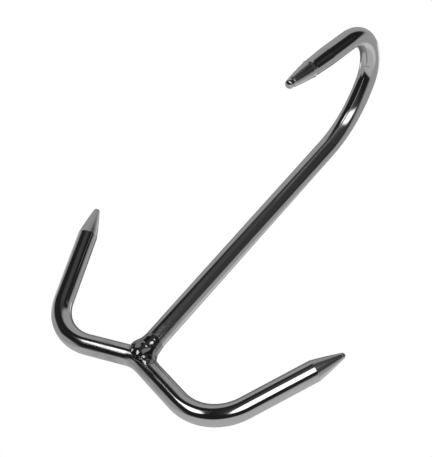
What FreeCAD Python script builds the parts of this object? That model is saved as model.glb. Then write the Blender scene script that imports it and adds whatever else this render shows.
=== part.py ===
import FreeCAD, Part
import math
import os

# Double-prong hanging hook of polished round bar, in millimetres, hanging with +Z up.
# The origin is where the rail bears, on the inside of the rail hook at its crown.
# The hanger bar lies in the YZ plane and hooks towards -Y.
# The prong bar lies in the XZ plane, across the lower end of the hanger bar.
Vector = FreeCAD.Vector

# Bar stock
hanger_bar_dia = 10.0
prong_bar_dia = 10.0

# Hanger bar, along its centre line from the prong bar's middle to the rail hook's point
shank_length = 150.0
shoulder_bend_radius = 58.0
shoulder_bend_angle = 42.0
crown_bend_radius = 20.0
crown_bend_angle = 126.0
tip_leg_length = 17.5
hanger_shoulder_length = 14.0
hanger_shoulder_dia = 8.7
hanger_point_length = 31.3
hanger_nose_dia = 4.6

# Prong bar, along its centre line from the middle outwards.
# It is bent by hand, and its two sides differ by a few millimetres and degrees.
middle_bend_radius = 20.0
prong_bend_radius = 25.0
right_droop_angle = 12.5
right_arm_length = 26.8
right_bend_angle = 77.0
right_prong_length = 34.3
right_point_length = 15.3
right_nose_dia = 2.9
left_droop_angle = 16.5
left_arm_length = 22.1
left_bend_angle = 79.4
left_prong_length = 40.2
left_point_length = 18.0
left_nose_dia = 3.4

# Ground points: how far the flank swells out from a straight taper at half its length
point_swell = 0.15

# Foot of the shank: the flat left beside the saddle that is ground to fit the prong bar
saddle_land = 0.5

# Weld metal round the foot of the shank
weld_up_shank = 7.0
weld_along_arm = 4.6
weld_crown = 2.2
weld_below_middle = 3.4
weld_edge = 0.2

hanger_radius = hanger_bar_dia / 2
prong_radius = prong_bar_dia / 2


def bent_path(start, heading, side, moves):
    # Straight runs and tangent bends, laid end to end in one plane.
    # A move is a length, or a pair of bend radius and angle, where a plus angle turns towards side.
    edges = []
    here = start
    for move in moves:
        if isinstance(move, tuple):
            radius, angle = move
            turn = math.radians(abs(angle))
            inward = side if angle > 0 else side * -1
            centre = here + inward * radius
            middle = centre + (heading * math.sin(turn / 2) - inward * math.cos(turn / 2)) * radius
            end = centre + (heading * math.sin(turn) - inward * math.cos(turn)) * radius
            edges.append(Part.Arc(here, middle, end).toShape())
            heading, inward = (heading * math.cos(turn) + inward * math.sin(turn),
                               inward * math.cos(turn) - heading * math.sin(turn))
            side = inward if angle > 0 else inward * -1
        else:
            end = here + heading * move
            edges.append(Part.LineSegment(here, end).toShape())
        here = end
    return edges, here, heading


def round_bar(edges, start, heading, dia):
    section = Part.Wire(Part.makeCircle(dia / 2, start, heading))
    return Part.Wire(edges).makePipeShell([section], True, False)


def ground_point(dia, nose_dia, length, base, heading, shoulder_length=0.0, shoulder_dia=0.0):
    # A tapered point turned about its axis, with a slightly full flank and a domed nose.
    # A shoulder, where there is one, is a first and gentler taper before the flank.
    nose = nose_dia / 2
    nose_start = length - nose
    dome = nose * math.sqrt(0.5)
    flank_radius = dia / 2
    outline = [Part.LineSegment(Vector(0, 0, 0), Vector(flank_radius, 0, 0)).toShape()]
    if shoulder_length > 0:
        shoulder = Part.LineSegment(Vector(flank_radius, 0, 0),
                                    Vector(shoulder_dia / 2, 0, shoulder_length))
        outline.append(shoulder.toShape())
        flank_radius = shoulder_dia / 2
    flank_middle = Vector((flank_radius + nose) / 2 + point_swell, 0,
                          (shoulder_length + nose_start) / 2)
    flank = Part.Arc(Vector(flank_radius, 0, shoulder_length), flank_middle,
                     Vector(nose, 0, nose_start))
    nose_arc = Part.Arc(Vector(nose, 0, nose_start), Vector(dome, 0, nose_start + dome),
                        Vector(0, 0, length))
    outline += [
        flank.toShape(),
        nose_arc.toShape(),
        Part.LineSegment(Vector(0, 0, length), Vector(0, 0, 0)).toShape(),
    ]
    point = Part.Face(Part.Wire(outline)).revolve(Vector(0, 0, 0), Vector(0, 0, 1), 360)
    point.Placement = FreeCAD.Placement(base, FreeCAD.Rotation(Vector(0, 0, 1), heading))
    return point


def prong_middle_height():
    # Height of the prong bar's middle, so that the inside of the crown comes out at the origin.
    # The bar runs up and over, so its top is where its heading turns level.
    shoulder = math.radians(shoulder_bend_angle)
    shoulder_rise = shoulder_bend_radius * math.sin(shoulder)
    crown_rise = crown_bend_radius * (1 - math.sin(shoulder))
    return hanger_radius - shank_length - shoulder_rise - crown_rise


def crown_offset():
    # How far the crown's top stands out from the shank's centre line.
    shoulder = math.radians(shoulder_bend_angle)
    shoulder_reach = shoulder_bend_radius * (1 - math.cos(shoulder))
    crown_reach = crown_bend_radius * math.cos(shoulder)
    return shoulder_reach + crown_reach


joint_middle = Vector(0, crown_offset(), prong_middle_height())


def half_prong_bar(outward, droop_angle, arm_length, bend_angle, prong_length,
                   point_length, nose_dia):
    moves = [
        (middle_bend_radius, -droop_angle),
        arm_length,
        (prong_bend_radius, bend_angle),
        prong_length,
    ]
    path, end, heading = bent_path(joint_middle, outward, Vector(0, 0, 1), moves)
    arm = round_bar(path, joint_middle, outward, prong_bar_dia)
    point = ground_point(prong_bar_dia, nose_dia, point_length, end, heading)
    return arm.fuse(point)


def make_prong_bar():
    right = half_prong_bar(Vector(1, 0, 0), right_droop_angle, right_arm_length,
                           right_bend_angle, right_prong_length, right_point_length,
                           right_nose_dia)
    left = half_prong_bar(Vector(-1, 0, 0), left_droop_angle, left_arm_length,
                          left_bend_angle, left_prong_length, left_point_length,
                          left_nose_dia)
    return right.fuse(left).removeSplitter().Solids[0]


def make_hanger_bar(prong_bar):
    moves = [
        shank_length,
        (shoulder_bend_radius, shoulder_bend_angle),
        (crown_bend_radius, crown_bend_angle),
        tip_leg_length,
    ]
    path, end, heading = bent_path(joint_middle, Vector(0, 0, 1), Vector(0, -1, 0), moves)
    bar = round_bar(path, joint_middle, Vector(0, 0, 1), hanger_bar_dia)
    point = ground_point(hanger_bar_dia, hanger_nose_dia, hanger_point_length, end, heading,
                         hanger_shoulder_length, hanger_shoulder_dia)
    bar = bar.fuse(point).removeSplitter()
    # The foot is sawn square, then ground to a saddle that sits on the prong bar.
    land_radius = min(hanger_radius, prong_radius) - saddle_land
    land_height = math.sqrt(prong_radius ** 2 - land_radius ** 2)
    waste = Part.makeCylinder(hanger_bar_dia, prong_bar_dia + land_height,
                              joint_middle - Vector(0, 0, prong_bar_dia))
    return bar.cut(waste).cut(prong_bar).Solids[0]


def weld_ring(height, half_x, half_y):
    # One outline of the front run, looking down the shank: the front half of an ellipse,
    # closed along the plane where the two runs meet.
    stretch = FreeCAD.Matrix()
    stretch.scale(half_x, half_y, 1)
    stretch.move(joint_middle + Vector(0, 0, height))
    centre = Vector(0, 0, 0)
    up = Vector(0, 0, 1)
    arc = Part.makeCircle(1, centre, up, 180, 360).transformGeometry(stretch)
    right = arc.Vertexes[-1].Point
    left = arc.Vertexes[0].Point
    return Part.Wire(arc.Edges + [Part.LineSegment(right, left).toShape()])


def make_front_weld(hanger_bar, prong_bar):
    # Rings from the bead's edge on the shank down to its edge on the flank of the prong bar.
    top = prong_radius + weld_up_shank
    edge = hanger_radius + weld_edge
    belly = hanger_radius + weld_crown
    foot = math.sqrt(prong_radius ** 2 - weld_below_middle ** 2) - weld_edge
    rings = [
        weld_ring(top, edge, edge),
        weld_ring(top - weld_up_shank / 2, edge + weld_crown / 3, edge + weld_crown / 2),
        weld_ring(prong_radius, hanger_radius + weld_along_arm / 2, belly),
        weld_ring(prong_radius / 4, hanger_radius + weld_along_arm, belly),
        weld_ring(-weld_below_middle, hanger_radius, foot),
    ]
    metal = Part.makeLoft(rings, True, False)
    return metal.cut(hanger_bar).cut(prong_bar).Solids[0]


def main():
    os.makedirs("parts", exist_ok=True)
    prong_bar = make_prong_bar()
    hanger_bar = make_hanger_bar(prong_bar)
    front_weld = make_front_weld(hanger_bar, prong_bar)
    nodes = {
        "prong_bar": prong_bar,
        "hanger_bar": hanger_bar,
        "front_weld": front_weld,
        "back_weld": front_weld.mirror(joint_middle, Vector(0, 1, 0)),
    }
    for name, shape in nodes.items():
        shape.exportStep("parts/" + name + ".step")
        box = shape.optimalBoundingBox()
        print(name, "solids", len(shape.Solids), "valid", shape.isValid(),
              "volume", round(shape.Volume, 1),
              "x", round(box.XMin, 2), round(box.XMax, 2),
              "y", round(box.YMin, 2), round(box.YMax, 2),
              "z", round(box.ZMin, 2), round(box.ZMax, 2))


main()
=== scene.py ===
import math

import bmesh
import bpy
import numpy as np
from mathutils import Matrix, Vector


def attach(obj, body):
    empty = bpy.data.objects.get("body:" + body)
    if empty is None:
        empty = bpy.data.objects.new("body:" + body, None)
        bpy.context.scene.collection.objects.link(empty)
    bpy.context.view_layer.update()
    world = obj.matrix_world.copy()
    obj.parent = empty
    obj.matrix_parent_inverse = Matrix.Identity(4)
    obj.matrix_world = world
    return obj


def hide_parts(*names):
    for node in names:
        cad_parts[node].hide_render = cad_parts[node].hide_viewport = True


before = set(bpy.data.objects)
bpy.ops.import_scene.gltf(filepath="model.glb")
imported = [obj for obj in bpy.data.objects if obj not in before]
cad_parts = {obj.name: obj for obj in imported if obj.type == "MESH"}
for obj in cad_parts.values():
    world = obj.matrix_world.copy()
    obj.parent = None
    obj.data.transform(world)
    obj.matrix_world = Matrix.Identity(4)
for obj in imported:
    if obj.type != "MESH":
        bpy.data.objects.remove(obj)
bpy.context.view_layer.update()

mm = 0.001  # lengths in the dictionaries are millimetres, Blender's are metres
shop = bpy.context.scene


# small helpers, used by every piece

def linearColour(hexCode):
    channels = [int(hexCode[i:i + 2], 16) / 255 for i in (1, 3, 5)]
    return [c / 12.92 if c <= 0.04045 else ((c + 0.055) / 1.055) ** 2.4 for c in channels] + [1.0]


def addNode(tree, kind, settings=None, links=None):
    # settings: attribute or socket to value; links: socket to the output that feeds it
    made = tree.nodes.new(kind)
    for key, value in (settings or {}).items():
        if isinstance(key, str) and hasattr(made, key):
            setattr(made, key, value)
        else:
            made.inputs[key].default_value = value
    for key, output in (links or {}).items():
        tree.links.new(output, made.inputs[key])
    return made


def finishPiece(piece, material, slotName, *cadNodes):
    piece.data.materials.append(material)
    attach(piece, "root")
    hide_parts(*cadNodes)


def pieceFromMesh(name, mesh):
    bmesh.ops.recalc_face_normals(mesh, faces=mesh.faces)
    data = bpy.data.meshes.new(name)
    mesh.to_mesh(data)
    mesh.free()
    piece = bpy.data.objects.new(name, data)
    shop.collection.objects.link(piece)
    return piece


# camera, where the photographer stood: low in front and to the right, looking up, with the picture tilted

camera = {
    "place": (249.4, -340.3, -305.9),
    "right": (0.752783, 0.216051, 0.621804),
    "up": (-0.379233, -0.629757, 0.677930),
    "lens": 77.97,
}


def setCamera():
    right = Vector(camera["right"]).normalized()
    up = Vector(camera["up"])
    back = right.cross(up).normalized()
    up = back.cross(right)
    turn = Matrix((right, up, back)).transposed().to_4x4()
    data = bpy.data.cameras.new("photoCamera")
    data.lens = camera["lens"]
    data.sensor_fit = "AUTO"
    data.sensor_width = 36
    data.clip_start = 0.01
    seat = bpy.data.objects.new("photoCamera", data)
    seat.matrix_world = Matrix.Translation(Vector(camera["place"]) * mm) @ turn
    shop.collection.objects.link(seat)
    shop.camera = seat
    return turn


cameraTurn = setCamera()
print("camera set")


# the two bars: each is one length of 10 mm round bar, bent cold and ground to points

bar = {
    "radius": 5.0,
    "sides": 120,  # faces round the bar
    "step": 1.0,  # spacing of rings along it
}

hangerBar = {
    "shankLength": 150.0,
    "shoulderRadius": 58.0, "shoulderAngle": 42.0,
    "crownRadius": 20.0, "crownAngle": 126.0,
    "legLength": 17.5,
    # ground in two tapers with a soft knee between them, and a nose left as a small ball
    "point": {"length": 31.3, "noseRadius": 2.3, "swell": 0.15, "shoulderLength": 14.0,
              "shoulderRadius": 4.35, "kneeLip": 0.22, "neck": 0.25, "polishedNose": 1.0},
}

prongBar = {
    "middleRadius": 20.0, "bendRadius": 25.0,
    "saddleEdge": 4.76,  # square of the least height that the shank's hollow foot is cut to, at its sides
}

# bent by hand, so the two sides differ a little
rightProng = {
    "droopAngle": 12.5, "armLength": 26.8, "bendAngle": 77.0, "prongLength": 34.3,
    "point": {"length": 15.3, "noseRadius": 1.45, "swell": 0.15, "shoulderLength": 0.0,
              "shoulderRadius": 5.0, "kneeLip": 0.0, "neck": 0.0, "polishedNose": 0.0},
}
leftProng = {
    "droopAngle": 16.5, "armLength": 22.1, "bendAngle": 79.4, "prongLength": 40.2,
    "point": {"length": 18.0, "noseRadius": 1.7, "swell": 0.15, "shoulderLength": 0.0,
              "shoulderRadius": 5.0, "kneeLip": 0.0, "neck": 0.0, "polishedNose": 0.0},
}


pointShape = {
    # along the first taper, as shares of it: the knee's lip, and where the belt's cut begins
    "lipAt": 0.97, "lipWidth": 0.05, "groundFrom": 0.93,
    # along the flank, as shares of it: the rest of the lip, and the neck behind the nose
    "lipEnd": 0.03, "neckAt": 0.93, "neckWidth": 0.035,
    "rings": 30, "noseRings": 13,
}


def jointMiddle():
    # where the two centre lines cross, worked out so that the rail bears at the origin
    shoulder = math.radians(hangerBar["shoulderAngle"])
    wide, tight = hangerBar["shoulderRadius"], hangerBar["crownRadius"]
    rise = wide * math.sin(shoulder) + tight * (1 - math.sin(shoulder))
    reach = wide * (1 - math.cos(shoulder)) + tight * math.cos(shoulder)
    return Vector((0, reach, bar["radius"] - hangerBar["shankLength"] - rise))


joint = jointMiddle()


def walkPath(start, heading, side, moves):
    # stations (place, heading, side, distance) every step along straight runs and tangent bends;
    # a move is a length or (bend radius, angle), where a plus angle turns towards side
    stations = [(start.copy(), heading.copy(), side.copy(), 0.0)]
    travelled = 0.0
    for move in moves:
        here, ahead, across = stations[-1][0], stations[-1][1], stations[-1][2]
        if isinstance(move, tuple):
            radius, angle = move[0], math.radians(move[1])
            length = radius * abs(angle)
            inward = across if angle > 0 else -across
            centre = here + inward * radius
        else:
            length = move
        count = max(2, round(length / bar["step"]))
        for k in range(1, count + 1):
            share = k / count
            if isinstance(move, tuple):
                turn = abs(angle) * share
                place = centre + (ahead * math.sin(turn) - inward * math.cos(turn)) * radius
                newHeading = ahead * math.cos(turn) + inward * math.sin(turn)
                newInward = inward * math.cos(turn) - ahead * math.sin(turn)
                newSide = newInward if angle > 0 else -newInward
            else:
                place, newHeading, newSide = here + ahead * (length * share), ahead.copy(), across.copy()
            stations.append((place, newHeading, newSide, travelled + length * share))
        travelled += length
    return stations


def pointProfile(point):
    # (distance, radius, ground) from the base of a ground point to the end of its domed nose;
    # ground is 0 where the bar's polish is left and 1 where the belt has cut
    shape, rings = pointShape, pointShape["rings"]
    profile = [(0.0, bar["radius"], 0.0)]
    knee, kneeRadius = point["shoulderLength"], point["shoulderRadius"]
    for k in range(1, rings + 1 if knee else 1):
        share = k / rings
        radius = bar["radius"] + (kneeRadius - bar["radius"]) * share
        radius += point["kneeLip"] * math.exp(-((share - shape["lipAt"]) / shape["lipWidth"]) ** 2)
        profile.append((knee * share, radius, 1.0 if share > shape["groundFrom"] else 0.0))
    nose = point["noseRadius"]
    flankEnd = point["length"] - nose
    for k in range(1, rings + 1):
        share = k / rings
        radius = kneeRadius + (nose - kneeRadius) * share + point["swell"] * 4 * share * (1 - share)
        radius -= point["neck"] * math.exp(-((share - shape["neckAt"]) / shape["neckWidth"]) ** 2)
        radius += point["kneeLip"] * math.exp(-(share / shape["lipEnd"]) ** 2)
        profile.append((knee + (flankEnd - knee) * share, radius, 1.0))
    for k in range(1, shape["noseRings"]):
        turn = math.pi / 2 * k / shape["noseRings"]
        ground = 1.0 - point["polishedNose"]
        profile.append((flankEnd + nose * math.sin(turn), nose * math.cos(turn), ground))
    return profile


def sweepBar(name, stations, startPoint, endPoint, footCap=None):
    # rings round every station, with a ground point at the end and, where there is one, at the start;
    # barSpace keeps each vertex's place in the straightened bar, and groundShare marks the ground points
    mesh = bmesh.new()
    unrolled = mesh.verts.layers.float_vector.new("barSpace")
    ground = mesh.verts.layers.float.new("groundShare")
    sides = bar["sides"]
    rings = []

    def addRing(station, radius, isGround=0.0, along=0.0):
        place, heading, side, distance = station
        across = heading.cross(side)
        middle = place + heading * along
        ring = []
        for k in range(sides):
            turn = 2 * math.pi * k / sides
            spoke = side * math.cos(turn) + across * math.sin(turn)
            vert = mesh.verts.new((middle + spoke * radius) * mm)
            unrolledX, unrolledY = bar["radius"] * math.cos(turn), bar["radius"] * math.sin(turn)
            vert[unrolled] = (unrolledX, unrolledY, distance + along)
            vert[ground] = isGround
            ring.append(vert)
        rings.append(ring)

    def addTip(station, along):
        vert = mesh.verts.new((station[0] + station[1] * along) * mm)
        vert[unrolled] = (0, 0, station[3] + along)
        vert[ground] = 1.0
        return vert

    startTip = None
    if startPoint:
        startTip = addTip(stations[0], -startPoint["length"])
        for along, radius, cut in reversed(pointProfile(startPoint)[1:]):
            addRing(stations[0], radius, cut, -along)
    firstBase = len(rings)
    for station in stations:
        addRing(station, bar["radius"])
    lastBase = len(rings) - 1
    for along, radius, cut in pointProfile(endPoint)[1:]:
        addRing(stations[-1], radius, cut, along)
    endTip = addTip(stations[-1], endPoint["length"])

    for low, high in zip(rings, rings[1:]):
        for k in range(sides):
            nextK = (k + 1) % sides
            mesh.faces.new((low[k], low[nextK], high[nextK], high[k]))
    for k in range(sides):
        nextK = (k + 1) % sides
        mesh.faces.new((rings[-1][k], rings[-1][nextK], endTip))
        if startTip:
            mesh.faces.new((rings[0][nextK], rings[0][k], startTip))
    if footCap:
        footCap(mesh, rings[0])
    for face in mesh.faces:
        face.smooth = True
    pointBases = [rings[lastBase]] + ([rings[firstBase]] if startPoint else [])
    for ring in pointBases:  # the grinder leaves a crisp edge
        for k in range(sides):
            mesh.edges.get((ring[k], ring[(k + 1) % sides])).smooth = False
    return pieceFromMesh(name, mesh)


def saddleHeight(x, y):
    # top of the prong bar under the foot of the shank, above the joint's middle
    drop = prongBar["middleRadius"] - math.sqrt(prongBar["middleRadius"] ** 2 - x * x)
    return math.sqrt(max(bar["radius"] ** 2 - y * y, prongBar["saddleEdge"])) - drop


def saddleCap(mesh, ring):
    # the foot of the shank is ground hollow, to sit on the round of the prong bar
    inner = ring
    for share in (0.75, 0.5, 0.25):
        newRing = []
        for vert in ring:
            x, y = vert.co.x / mm * share, (vert.co.y / mm - joint.y) * share
            newRing.append(mesh.verts.new(Vector((x, joint.y + y, joint.z + saddleHeight(x, y))) * mm))
        for k in range(len(ring)):
            nextK = (k + 1) % len(ring)
            mesh.faces.new((inner[nextK], inner[k], newRing[k], newRing[nextK]))
        inner = newRing
    middle = mesh.verts.new(Vector((0, joint.y, joint.z + saddleHeight(0, 0))) * mm)
    for k in range(len(ring)):
        mesh.faces.new((inner[(k + 1) % len(ring)], inner[k], middle))
    for vert in ring:
        x, y = vert.co.x / mm, vert.co.y / mm - joint.y
        vert.co.z = (joint.z + saddleHeight(x, y)) * mm


def buildHangerBar():
    moves = [
        hangerBar["shankLength"],
        (hangerBar["shoulderRadius"], hangerBar["shoulderAngle"]),
        (hangerBar["crownRadius"], hangerBar["crownAngle"]),
        hangerBar["legLength"],
    ]
    stations = walkPath(joint, Vector((0, 0, 1)), Vector((0, -1, 0)), moves)
    stations = [stations[0]] + [s for s in stations[1:] if s[3] > bar["radius"] + 1]
    return sweepBar("polishedHangerBar", stations, None, hangerBar["point"], saddleCap)


def buildProngBar():
    halves = []
    for outward, prong in ((1, rightProng), (-1, leftProng)):
        moves = [
            (prongBar["middleRadius"], -prong["droopAngle"]),
            prong["armLength"],
            (prongBar["bendRadius"], prong["bendAngle"]),
            prong["prongLength"],
        ]
        halves.append(walkPath(joint, Vector((outward, 0, 0)), Vector((0, 0, 1)), moves))
    right, left = halves
    left = [(place, -heading, side, -distance) for place, heading, side, distance in reversed(left[1:])]
    return sweepBar("polishedProngBar", left + right, leftProng["point"], rightProng["point"])


# weld: one run in front of the shank's foot and one behind, laid drop by drop and buffed over

weld = {
    # all lengths from the joint's middle: x along the prong bar, z up the shank
    "centre": (2.0, 3.0),  # the crater that the run ends in, which its outline is drawn round
    # outline of the weld seen from the front: degrees round the centre to millimetres from it
    "toe": {
        -180: 8.6, -154: 6.2, -135: 5.3, -112: 5.4, -90: 5.3, -60: 5.8, -32: 9.2, 0: 8.7, 30: 8.6,
        55: 8.4, 72: 10.0, 90: 9.7, 106: 10.2, 122: 10.4, 140: 10.2, 160: 10.2,
    },
    "footRadius": 5.3, "footEnd": 3.0,  # metal run down round the shank's foot
    # how far the fillet spreads: in front, right and left of the shank, and more in the corners between
    "frontBlend": 1.6, "rightBlend": 4.6, "leftBlend": 5.6, "cornerBlend": 1.8,
    "frontWidth": (1.6, 5.0), "cornerDepth": (0.5, 3.5),  # where front turns to side, and side to corner
    "fade": 2.6,  # the fillet thins out over this much before the toe
    "proud": 0.12,  # step up at the toe
    "sunk": 0.8,  # how far the run's hidden rim lies under the bars
    # drops of metal: x, z, height, half width along x and along z
    "frontDrops": [(1.6, 2.7, 0.46, 4.4, 2.4), (0.9, 6.2, 0.20, 1.7, 0.75), (3.2, 9.5, 0.24, 1.1, 0.7),
                   (2.9, 11.2, 0.22, 1.1, 0.65), (4.9, 1.1, 0.15, 0.9, 0.9), (6.6, 2.5, 0.13, 0.8, 0.9),
                   (7.9, -0.2, 0.22, 0.9, 1.0), (10.2, -1.0, 0.14, 0.6, 0.8), (-2.6, 0.9, 0.22, 0.8, 0.8)],
    "backDrops": [(-1.2, 3.3, 0.50, 3.2, 1.9), (0.5, 6.6, 0.26, 2.2, 0.8), (-0.6, 8.8, 0.2, 2.0, 0.7),
                  (0.3, 11.0, 0.2, 1.8, 0.7), (4.6, 1.4, 0.26, 0.9, 1.1), (6.9, 0.4, 0.26, 0.8, 1.2),
                  (9.0, 0.0, 0.2, 0.7, 1.0), (-3.8, 1.0, 0.22, 0.9, 1.0)],
    "dropDepth": (0.3, 2.5),  # drops fade out towards the plane where the two runs meet
    "lip": (12.35, 0.14, 0.3),  # edge of the run on the shank: place, height and half width
    "lipFade": (-1.5, 2.0),  # it dies away towards the left
    # lines left in the lower edge of the run: drop below the middle, depth and half width
    "laps": [(-0.9, 0.08, 0.3), (-1.7, 0.11, 0.3)],
    "lapSlope": 0.1, "lapFade": (6.5, 4.5),
    "rimFade": (-0.30, 0.25),  # round the toe, where the skin dives under the bars
    "rows": 110, "across": 384,  # rings of faces, and faces round each
    # search for the skin along each ray: where it starts and ends, in how many steps and halvings
    "searchFrom": 1.5, "searchTo": 12.0, "searchSteps": 120, "halvings": 22,
    "rimWidth": 1.0,  # how far past the toe the hidden rim goes
}


def toeDistance(turn):
    angles = sorted(weld["toe"])
    reach = [weld["toe"][a] for a in angles]
    turn = np.degrees(turn)
    return sum(np.interp(turn + shift, angles, reach, period=360) for shift in (-12, -6, 0, 6, 12)) / 5


def blend(a, b, reach):
    # the lesser of two distances, with a fillet where they meet
    h = np.clip(1 - np.abs(a - b) / reach, 0, 1)
    return np.minimum(a, b) - h * h * reach / 4


def step(low, high, value):
    share = np.clip((value - low) / (high - low), 0, 1)
    return share * share * (3 - 2 * share)


def weldField(x, y, z, side):
    # distance outside the weld's skin, below nought inside; side is 1 for the front run, -1 for the back
    shank = np.sqrt(x * x + y * y + np.minimum(z - weld["footEnd"], 0) ** 2)
    radius = prongBar["middleRadius"]
    fromTop = np.degrees(np.arctan2(x, z + radius))
    level = np.hypot(x, z + radius) - radius
    for outward, prong in ((1, rightProng), (-1, leftProng)):
        droop = math.radians(prong["droopAngle"])
        straight = (x * outward - radius * math.sin(droop)) * math.sin(droop) \
            + (z - radius * math.cos(droop) + radius) * math.cos(droop)
        level = np.where(fromTop * outward > prong["droopAngle"], straight, level)
    arms = np.hypot(level, y) - bar["radius"]
    beside = step(*weld["frontWidth"], np.abs(x))
    sideBlend = np.where(x > 0, weld["rightBlend"], weld["leftBlend"])
    sideBlend = sideBlend + weld["cornerBlend"] * step(*weld["cornerDepth"], y * -side)
    full = blend(shank - weld["footRadius"], arms, weld["frontBlend"] * (1 - beside) + sideBlend * beside)
    bare = np.minimum(shank - bar["radius"], arms)
    fromCentre = np.hypot(x - weld["centre"][0], z - weld["centre"][1])
    toToe = toeDistance(np.arctan2(z - weld["centre"][1], x - weld["centre"][0])) - fromCentre
    skin = bare + (full - bare) * step(0, weld["fade"], toToe)
    forward = step(*weld["dropDepth"], y * -side)
    for dropX, dropZ, height, wide, high in weld["frontDrops" if side > 0 else "backDrops"]:
        skin = skin - forward * height * np.exp(-((x - dropX) / wide) ** 2 - ((z - dropZ) / high) ** 2)
    place, height, width = weld["lip"]
    skin = skin - height * np.exp(-((z - place) / width) ** 2) * step(*weld["lipFade"], x)
    for place, depth, width in weld["laps"]:
        lap = depth * np.exp(-((z - weld["lapSlope"] * x - place) / width) ** 2)
        skin = skin + forward * lap * step(*weld["lapFade"], x)
    inside = step(*weld["rimFade"], toToe)
    return skin - weld["proud"] * inside + weld["sunk"] * (1 - inside)


def buildWeld(name, side):
    # the skin is found along rays from the crater's root; past the toe it dives under the bars and closes
    rows, across = weld["rows"], weld["across"]
    lean, turn = np.meshgrid(np.linspace(0, math.pi / 2, rows + 1)[1:],
                             np.linspace(-math.pi, math.pi, across, endpoint=False), indexing="ij")
    rayX, rayY, rayZ = np.sin(lean) * np.cos(turn), -side * np.cos(lean), np.sin(lean) * np.sin(turn)
    startX, startZ = weld["centre"]
    furthest = (toeDistance(turn) + weld["rimWidth"]) / np.maximum(np.sin(lean), 1e-6)
    furthest = np.minimum(furthest, weld["searchTo"])

    def field(reach):
        return weldField(startX + rayX * reach, rayY * reach, startZ + rayZ * reach, side)

    start, steps = weld["searchFrom"], weld["searchSteps"]
    near, far = np.full(lean.shape, start), furthest.copy()
    found = np.zeros(lean.shape, bool)
    for k in range(1, steps + 1):
        reach = start + (furthest - start) * k / steps
        crossing = ~found & (field(reach) > 0)
        far[crossing] = reach[crossing]
        near[crossing] = (start + (furthest - start) * (k - 1) / steps)[crossing]
        found |= crossing
    for _ in range(weld["halvings"]):
        middle = (near + far) / 2
        out = field(middle) > 0
        far = np.where(found & out, middle, far)
        near = np.where(found & ~out, middle, near)
    reach = np.where(found, (near + far) / 2, furthest)
    skinX, skinY, skinZ = startX + rayX * reach, rayY * reach, startZ + rayZ * reach

    mesh = bmesh.new()
    grid = []
    for i in range(rows):
        row = []
        for k in range(across):
            spot = Vector((skinX[i, k], skinY[i, k], skinZ[i, k]))
            row.append(mesh.verts.new((joint + spot) * mm))
        grid.append(row)
    front = reach[0].mean()
    top = mesh.verts.new((joint + Vector((startX, -side * front, startZ))) * mm)
    root = mesh.verts.new((joint + Vector((startX, 0, startZ))) * mm)
    for k in range(across):
        nextK = (k + 1) % across
        mesh.faces.new((top, grid[0][k], grid[0][nextK])).smooth = True
        mesh.faces.new((root, grid[-1][nextK], grid[-1][k]))
        for i in range(rows - 1):
            mesh.faces.new((grid[i][k], grid[i + 1][k], grid[i + 1][nextK], grid[i][nextK])).smooth = True
    for k in range(across):
        mesh.edges.get((grid[-1][k], grid[-1][(k + 1) % across])).smooth = False
    return pieceFromMesh(name, mesh)


# materials

finish = {
    "barColour": "#C9C9C9", "dressedColour": "#B5B5B5",
    "barRoughness": 0.07, "lineRoughness": 0.06, "dressedRoughness": 0.11, "groundRoughness": 0.12,
    # lengths in millimetres; each pattern has its size across the bar and along it
    "lineSize": (0.55, 34.0), "lineDepth": 0.0018,  # polishing lines, finer in life, drawn coarse to show
    "waveSize": (4.4, 11.0), "waveDepth": 0.012,  # left by drawing the bar and bending it
    "ringSize": (6.0, 0.42),  # rings from a 120 grit belt, drawn coarser to show
    "scratchSize": (0.35, 5.0), "scratchDepth": 0.0012, "scratchNoise": (0.62, 0.78),
    "patchSize": (3.0, 7.0), "patchNoise": (0.38, 0.62),
    "dressedFrom": 16.0, "dressedTo": 30.0,  # how far from the joint the disc that dressed the weld reached
    "plainNoise": (0.35, 0.7),  # noise lies mostly between these
}

weldFinish = {
    "colour": "#A2A2A2", "stainColour": "#8A8A8A",  # dulled by the heat
    "roughness": (0.07, 0.18),
    "grainPerMm": 1.4, "grainDepth": 0.006,
    "lumpsPerMm": 0.45, "lumpDepth": 0.02,
}


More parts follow.
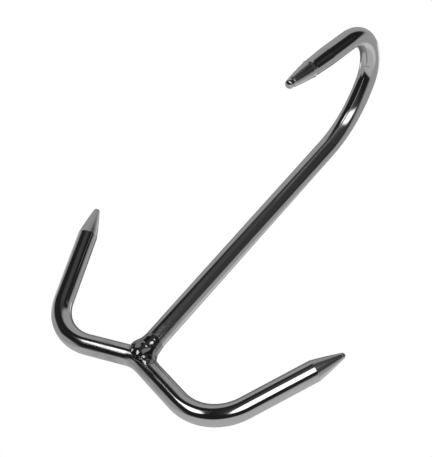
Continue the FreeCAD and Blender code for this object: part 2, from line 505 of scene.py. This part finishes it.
def polishedStainlessBar():
    # bright-drawn 304 stainless bar, polished lengthwise on a belt: near-mirror, with soft lines along it,
    # slight waves in its reflections, a satin stretch where the weld was dressed, and rings on its points
    material = bpy.data.materials.new("polishedStainlessBar")
    material.use_nodes = True
    tree = material.node_tree
    shader = tree.nodes["Principled BSDF"]
    shader.inputs["Metallic"].default_value = 1.0
    place = addNode(tree, "ShaderNodeAttribute", {"attribute_name": "barSpace"})
    ground = addNode(tree, "ShaderNodeAttribute", {"attribute_name": "groundShare"})

    def pattern(size, detail, roughness=0.5):
        # noise in the straightened bar's own millimetres, so that it follows every bend
        across, along = size
        scaled = addNode(tree, "ShaderNodeVectorMath",
                         {"operation": "MULTIPLY", 1: (1 / across, 1 / across, 1 / along)},
                         {0: place.outputs["Vector"]})
        return addNode(tree, "ShaderNodeTexNoise", {"Scale": 1.0, "Detail": detail, "Roughness": roughness},
                       {"Vector": scaled.outputs[0]}).outputs["Fac"]

    lines = pattern(finish["lineSize"], 4.0, 0.65)
    waves = pattern(finish["waveSize"], 1.0)
    rings = pattern(finish["ringSize"], 2.0, 0.6)
    scratches = pattern(finish["scratchSize"], 2.0)
    patches = pattern(finish["patchSize"], 3.0, 0.6)

    # the dressed stretch on both sides of the joint, in patches
    apart = addNode(tree, "ShaderNodeSeparateXYZ", None, {0: place.outputs["Vector"]})
    fromJoint = addNode(tree, "ShaderNodeMath", {"operation": "ABSOLUTE"}, {0: apart.outputs["Z"]})
    nearJoint = addNode(tree, "ShaderNodeMapRange",
                        {"From Min": finish["dressedTo"], "From Max": finish["dressedFrom"]},
                        {"Value": fromJoint.outputs[0]})
    low, high = finish["patchNoise"]
    inPatch = addNode(tree, "ShaderNodeMapRange", {"From Min": low, "From Max": high}, {"Value": patches})
    dressed = addNode(tree, "ShaderNodeMath", {"operation": "MULTIPLY"},
                      {0: nearJoint.outputs[0], 1: inPatch.outputs[0]})

    # roughness: base, plus lines, plus the dressed stretch, plus the ground points
    low, high = finish["plainNoise"]
    smoothest = finish["barRoughness"]
    rough = addNode(tree, "ShaderNodeMapRange",
                    {"From Min": low, "From Max": high, "To Min": smoothest,
                     "To Max": smoothest + finish["lineRoughness"]}, {"Value": lines})
    for more, share in ((finish["dressedRoughness"], dressed.outputs[0]),
                        (finish["groundRoughness"], ground.outputs["Fac"])):
        rough = addNode(tree, "ShaderNodeMath", {"operation": "MULTIPLY_ADD", 1: more},
                        {0: share, 2: rough.outputs[0]})
    tree.links.new(rough.outputs[0], shader.inputs["Roughness"])

    colour = addNode(tree, "ShaderNodeMix",
                     {"data_type": "RGBA", 6: linearColour(finish["barColour"]),
                      7: linearColour(finish["dressedColour"])}, {0: dressed.outputs[0]})
    tree.links.new(colour.outputs[2], shader.inputs["Base Color"])

    marks = addNode(tree, "ShaderNodeMix", {"data_type": "FLOAT"},
                    {0: ground.outputs["Fac"], 2: lines, 3: rings})
    low, high = finish["scratchNoise"]
    rare = addNode(tree, "ShaderNodeMapRange", {"From Min": low, "From Max": high}, {"Value": scratches})
    skin = addNode(tree, "ShaderNodeBump", {"Distance": finish["waveDepth"] * mm}, {"Height": waves})
    for height, depth in ((marks, finish["lineDepth"]), (rare, finish["scratchDepth"])):
        skin = addNode(tree, "ShaderNodeBump", {"Distance": depth * mm},
                       {"Height": height.outputs[0], "Normal": skin.outputs[0]})
    tree.links.new(skin.outputs[0], shader.inputs["Normal"])
    return material


def buffedWeldMetal():
    # TIG run in stainless filler, buffed with a mop: bright on its drops, duller between, over soft lumps
    material = bpy.data.materials.new("buffedWeldMetal")
    material.use_nodes = True
    tree = material.node_tree
    shader = tree.nodes["Principled BSDF"]
    shader.inputs["Metallic"].default_value = 1.0
    place = addNode(tree, "ShaderNodeTexCoord")
    inMillimetres = addNode(tree, "ShaderNodeVectorMath", {"operation": "SCALE", "Scale": 1 / mm},
                            {0: place.outputs["Object"]})
    grain = addNode(tree, "ShaderNodeTexNoise", {"Scale": weldFinish["grainPerMm"], "Detail": 3.0},
                    {"Vector": inMillimetres.outputs[0]})
    lumps = addNode(tree, "ShaderNodeTexNoise", {"Scale": weldFinish["lumpsPerMm"], "Detail": 1.0},
                    {"Vector": inMillimetres.outputs[0]})
    low, high = finish["plainNoise"]
    smoothest, roughest = weldFinish["roughness"]
    rough = addNode(tree, "ShaderNodeMapRange",
                    {"From Min": low, "From Max": high, "To Min": smoothest, "To Max": roughest},
                    {"Value": grain.outputs["Fac"]})
    tree.links.new(rough.outputs[0], shader.inputs["Roughness"])
    colour = addNode(tree, "ShaderNodeMix",
                     {"data_type": "RGBA", 6: linearColour(weldFinish["colour"]),
                      7: linearColour(weldFinish["stainColour"])}, {0: grain.outputs["Fac"]})
    tree.links.new(colour.outputs[2], shader.inputs["Base Color"])
    skin = addNode(tree, "ShaderNodeBump", {"Distance": weldFinish["lumpDepth"] * mm},
                   {"Height": lumps.outputs["Fac"]})
    skin = addNode(tree, "ShaderNodeBump", {"Distance": weldFinish["grainDepth"] * mm},
                   {"Height": grain.outputs["Fac"], "Normal": skin.outputs[0]})
    tree.links.new(skin.outputs[0], shader.inputs["Normal"])
    return material


barSteel = polishedStainlessBar()
weldSteel = buffedWeldMetal()
polishedHangerBar = buildHangerBar()
polishedProngBar = buildProngBar()
finishPiece(polishedHangerBar, barSteel, "hanger_bar", "hanger_bar")
finishPiece(polishedProngBar, barSteel, "prong_bar", "prong_bar")
print("bars built")
frontWeldBead = buildWeld("frontWeldBead", 1)
backWeldBead = buildWeld("backWeldBead", -1)
finishPiece(frontWeldBead, weldSteel, "weld_metal", "front_weld")
finishPiece(backWeldBead, weldSteel, "weld_metal", "back_weld")
print("weld built")


# studio: a grey cloth tent, seen only in the steel, with a dark doorway for the camera and light boards

studio = {
    # metres
    "middle": (0, 0, -0.1), "tentRadius": 1.6,
    "floorLevel": -0.45, "floorReach": 60.0,  # far enough for a level horizon
    "softboxSize": 0.7, "softboxPlace": (0.2, -0.3, 1.1),
    "softboxPower": 9,  # watts
    "tentSides": 360,
    "cloth": 0.46,  # the tent's plain brightness
    # cloths and openings in the order they hang, later ones in front: degrees right and up of the line to
    # the camera, half width, half height, tilt and soft edge in degrees, brightness
    "cloths": {
        "brightFloorCloth": (10, -85, 130, 52, 0, 30, 0.62),
        "brightLowerRight": (105, -70, 45, 40, 30, 30, 0.80),
        "doorway": (2, 26, 93, 58, 0, 8, 0.020),
        "doorwayCorner": (-78, 48, 17, 19, 0, 8, 0.025),
        "clothLowerLeft": (-94, -20, 28, 22, 15, 12, 0.45),
        "clothLowerRight": (88, -30, 50, 22, 0, 14, 0.46),
        "roomBehind": (4, 44, 24, 36, 0, 20, 0.085),
        "roomRight": (46, 22, 25, 24, 0, 18, 0.055),
    },
    # the tent's dim back wall: degrees from the line to the camera, softness, brightness
    "backWall": (146, 12, 0.16),
    "backStrips": {
        "backStripLeft": (-140, 25, 7, 30, 0, 4, 1.3),
        "backStripRight": (136, 30, 6, 28, 0, 4, 1.3),
    },
    # boards hung inside the tent, measured as the cloths are: the bar that each lights, its share of the
    # tent's radius, and the board. The hanger bar shows its own, some 15 degrees off those in the prongs
    "boards": {
        "leftStrip": ("prongBar", 0.97, (-42.5, 34, 6.5, 17.5, 0, 3, 2.6)),
        "window": ("prongBar", 0.95, (4, 19.5, 16, 18, 0, 5, 2.6)),
        "shoulderStrip": ("hangerBar", 0.93, (3, 28.5, 38, 7.5, -35.5, 4, 1.9)),
    },
    "boardSteps": 40,
    "floorColour": "#EDEDEB", "floorRoughness": 0.9,
    "roomLight": 0.75,
}


def panelShare(u, v, wide, high, edge):
    # 1 inside a panel with soft edges and rounded corners, 0 outside it
    reach = ((u / wide) ** 4 + (v / high) ** 4) ** 0.25
    return step(-0.5, 0.5, (1 - reach) * min(wide, high) / edge)


def glowMaterial(name, seeThrough=False):
    # panelLight holds the brightness of each vertex
    material = bpy.data.materials.new(name)
    material.use_nodes = True
    tree = material.node_tree
    tree.nodes.clear()
    level = addNode(tree, "ShaderNodeAttribute", {"attribute_name": "panelLight"})
    glow = addNode(tree, "ShaderNodeEmission", None, {"Strength": level.outputs["Fac"]})
    if seeThrough:
        clear = addNode(tree, "ShaderNodeBsdfTransparent")
        glow = addNode(tree, "ShaderNodeAddShader", None, {0: clear.outputs[0], 1: glow.outputs[0]})
    addNode(tree, "ShaderNodeOutputMaterial", None, {"Surface": glow.outputs[0]})
    return material


def hangInStudio(data, levels, material):
    # an object round the studio's middle, facing the camera, that is seen only in reflections
    data.attributes.new("panelLight", "FLOAT", "POINT").data.foreach_set("value", levels)
    data.materials.append(material)
    hung = bpy.data.objects.new(data.name, data)
    hung.matrix_world = Matrix.Translation(Vector(studio["middle"])) @ cameraTurn
    shop.collection.objects.link(hung)
    for ray in ("camera", "diffuse", "transmission", "volume_scatter", "shadow"):
        setattr(hung, "visible_" + ray, False)
    return hung


def buildTent():
    mesh = bmesh.new()
    sides = studio["tentSides"]
    bmesh.ops.create_uvsphere(mesh, u_segments=sides, v_segments=sides // 2, radius=studio["tentRadius"])
    data = bpy.data.meshes.new("studioTent")
    mesh.to_mesh(data)
    mesh.free()
    places = np.empty(len(data.vertices) * 3)
    data.vertices.foreach_get("co", places)
    places = places.reshape(-1, 3) / studio["tentRadius"]
    away = np.degrees(np.arccos(np.clip(places[:, 2], -1, 1)))
    around = np.arctan2(places[:, 1], places[:, 0])
    right, up = away * np.cos(around), away * np.sin(around)
    light = np.full(len(places), studio["cloth"])

    def hang(cloths):
        nonlocal light
        for centreRight, centreUp, wide, high, tilt, edge, brightness in cloths.values():
            c, s = math.cos(math.radians(tilt)), math.sin(math.radians(tilt))
            u = (right - centreRight) * c + (up - centreUp) * s
            v = -(right - centreRight) * s + (up - centreUp) * c
            share = panelShare(u, v, wide, high, edge)
            light = light * (1 - share) + brightness * share

    hang(studio["cloths"])
    start, soft, brightness = studio["backWall"]
    share = step(start - soft, start + soft, away)
    light = light * (1 - share) + brightness * share
    hang(studio["backStrips"])
    hangInStudio(data, light.astype(np.float32), glowMaterial("tentCloth"))


def buildBoard(name, depth, board, litPieces):
    # one light board inside the tent, that lights only the pieces given and is clear to the others
    centreRight, centreUp, wide, high, tilt, edge, brightness = board
    steps = studio["boardSteps"]
    c, s = math.cos(math.radians(tilt)), math.sin(math.radians(tilt))
    places, levels, faces = [], [], []
    for i in range(steps + 1):
        for k in range(steps + 1):
            u, v = (2 * i / steps - 1) * (wide + edge), (2 * k / steps - 1) * (high + edge)
            right, up = centreRight + u * c - v * s, centreUp + u * s + v * c
            away, around = math.radians(math.hypot(right, up)), math.atan2(up, right)
            aside = math.sin(away)
            spot = Vector((aside * math.cos(around), aside * math.sin(around), math.cos(away)))
            places.append(spot * studio["tentRadius"] * depth)
            levels.append(brightness * float(panelShare(u, v, wide, high, edge)))
    for i in range(steps):
        for k in range(steps):
            corner = i * (steps + 1) + k
            faces.append((corner, corner + 1, corner + steps + 2, corner + steps + 1))
    data = bpy.data.meshes.new(name)
    data.from_pydata(places, [], faces)
    hung = hangInStudio(data, levels, glowMaterial(name + "Light", seeThrough=True))
    lit = bpy.data.collections.new(name + "Lights")
    for piece in litPieces:
        lit.objects.link(piece)
    hung.light_linking.receiver_collection = lit


def buildFloor():
    data = bpy.data.meshes.new("studioFloor")
    reach, level = studio["floorReach"], studio["floorLevel"]
    corners = [(reach * x, reach * y, level) for x, y in ((-1, -1), (1, -1), (1, 1), (-1, 1))]
    data.from_pydata(corners, [], [(0, 1, 2, 3)])
    material = bpy.data.materials.new("paleFloorBoard")
    material.use_nodes = True
    shader = material.node_tree.nodes["Principled BSDF"]
    shader.inputs["Base Color"].default_value = linearColour(studio["floorColour"])
    shader.inputs["Roughness"].default_value = studio["floorRoughness"]
    shader.inputs["Specular IOR Level"].default_value = 0.0
    data.materials.append(material)
    floor = bpy.data.objects.new("studioFloor", data)
    shop.collection.objects.link(floor)
    floor.visible_glossy = False


def lightRoom():
    # white to the camera and in reflections, and a plain soft light on everything else
    world = bpy.data.worlds.new("studioRoom")
    shop.world = world
    world.use_nodes = True
    tree = world.node_tree
    tree.nodes.clear()
    path = addNode(tree, "ShaderNodeLightPath")
    seen = addNode(tree, "ShaderNodeMath", {"operation": "ADD", "use_clamp": True},
                   {0: path.outputs["Is Camera Ray"], 1: path.outputs["Is Glossy Ray"]})
    seen = addNode(tree, "ShaderNodeMath", {"operation": "ADD", "use_clamp": True},
                   {0: seen.outputs[0], 1: path.outputs["Is Transmission Ray"]})
    level = addNode(tree, "ShaderNodeMix", {"data_type": "FLOAT", 2: studio["roomLight"], 3: 1.0},
                    {0: seen.outputs[0]})
    glow = addNode(tree, "ShaderNodeBackground", {"Color": (1, 1, 1, 1)}, {"Strength": level.outputs[0]})
    addNode(tree, "ShaderNodeOutputWorld", None, {"Surface": glow.outputs[0]})
    lamp = bpy.data.lights.new("overheadSoftbox", "AREA")
    lamp.shape = "SQUARE"
    lamp.size = studio["softboxSize"]
    lamp.energy = studio["softboxPower"]
    box = bpy.data.objects.new("overheadSoftbox", lamp)
    box.location = studio["softboxPlace"]
    aim = Vector(studio["middle"]) - box.location
    box.rotation_euler = aim.to_track_quat("-Z", "Y").to_euler()
    box.visible_glossy = False
    shop.collection.objects.link(box)


buildTent()
litBy = {"hangerBar": (polishedHangerBar,), "prongBar": (polishedProngBar, frontWeldBead, backWeldBead)}
for boardName, (litBar, boardDepth, board) in studio["boards"].items():
    buildBoard(boardName, boardDepth, board, litBy[litBar])
buildFloor()
lightRoom()
shop.view_settings.view_transform = "Standard"
print("studio lit")
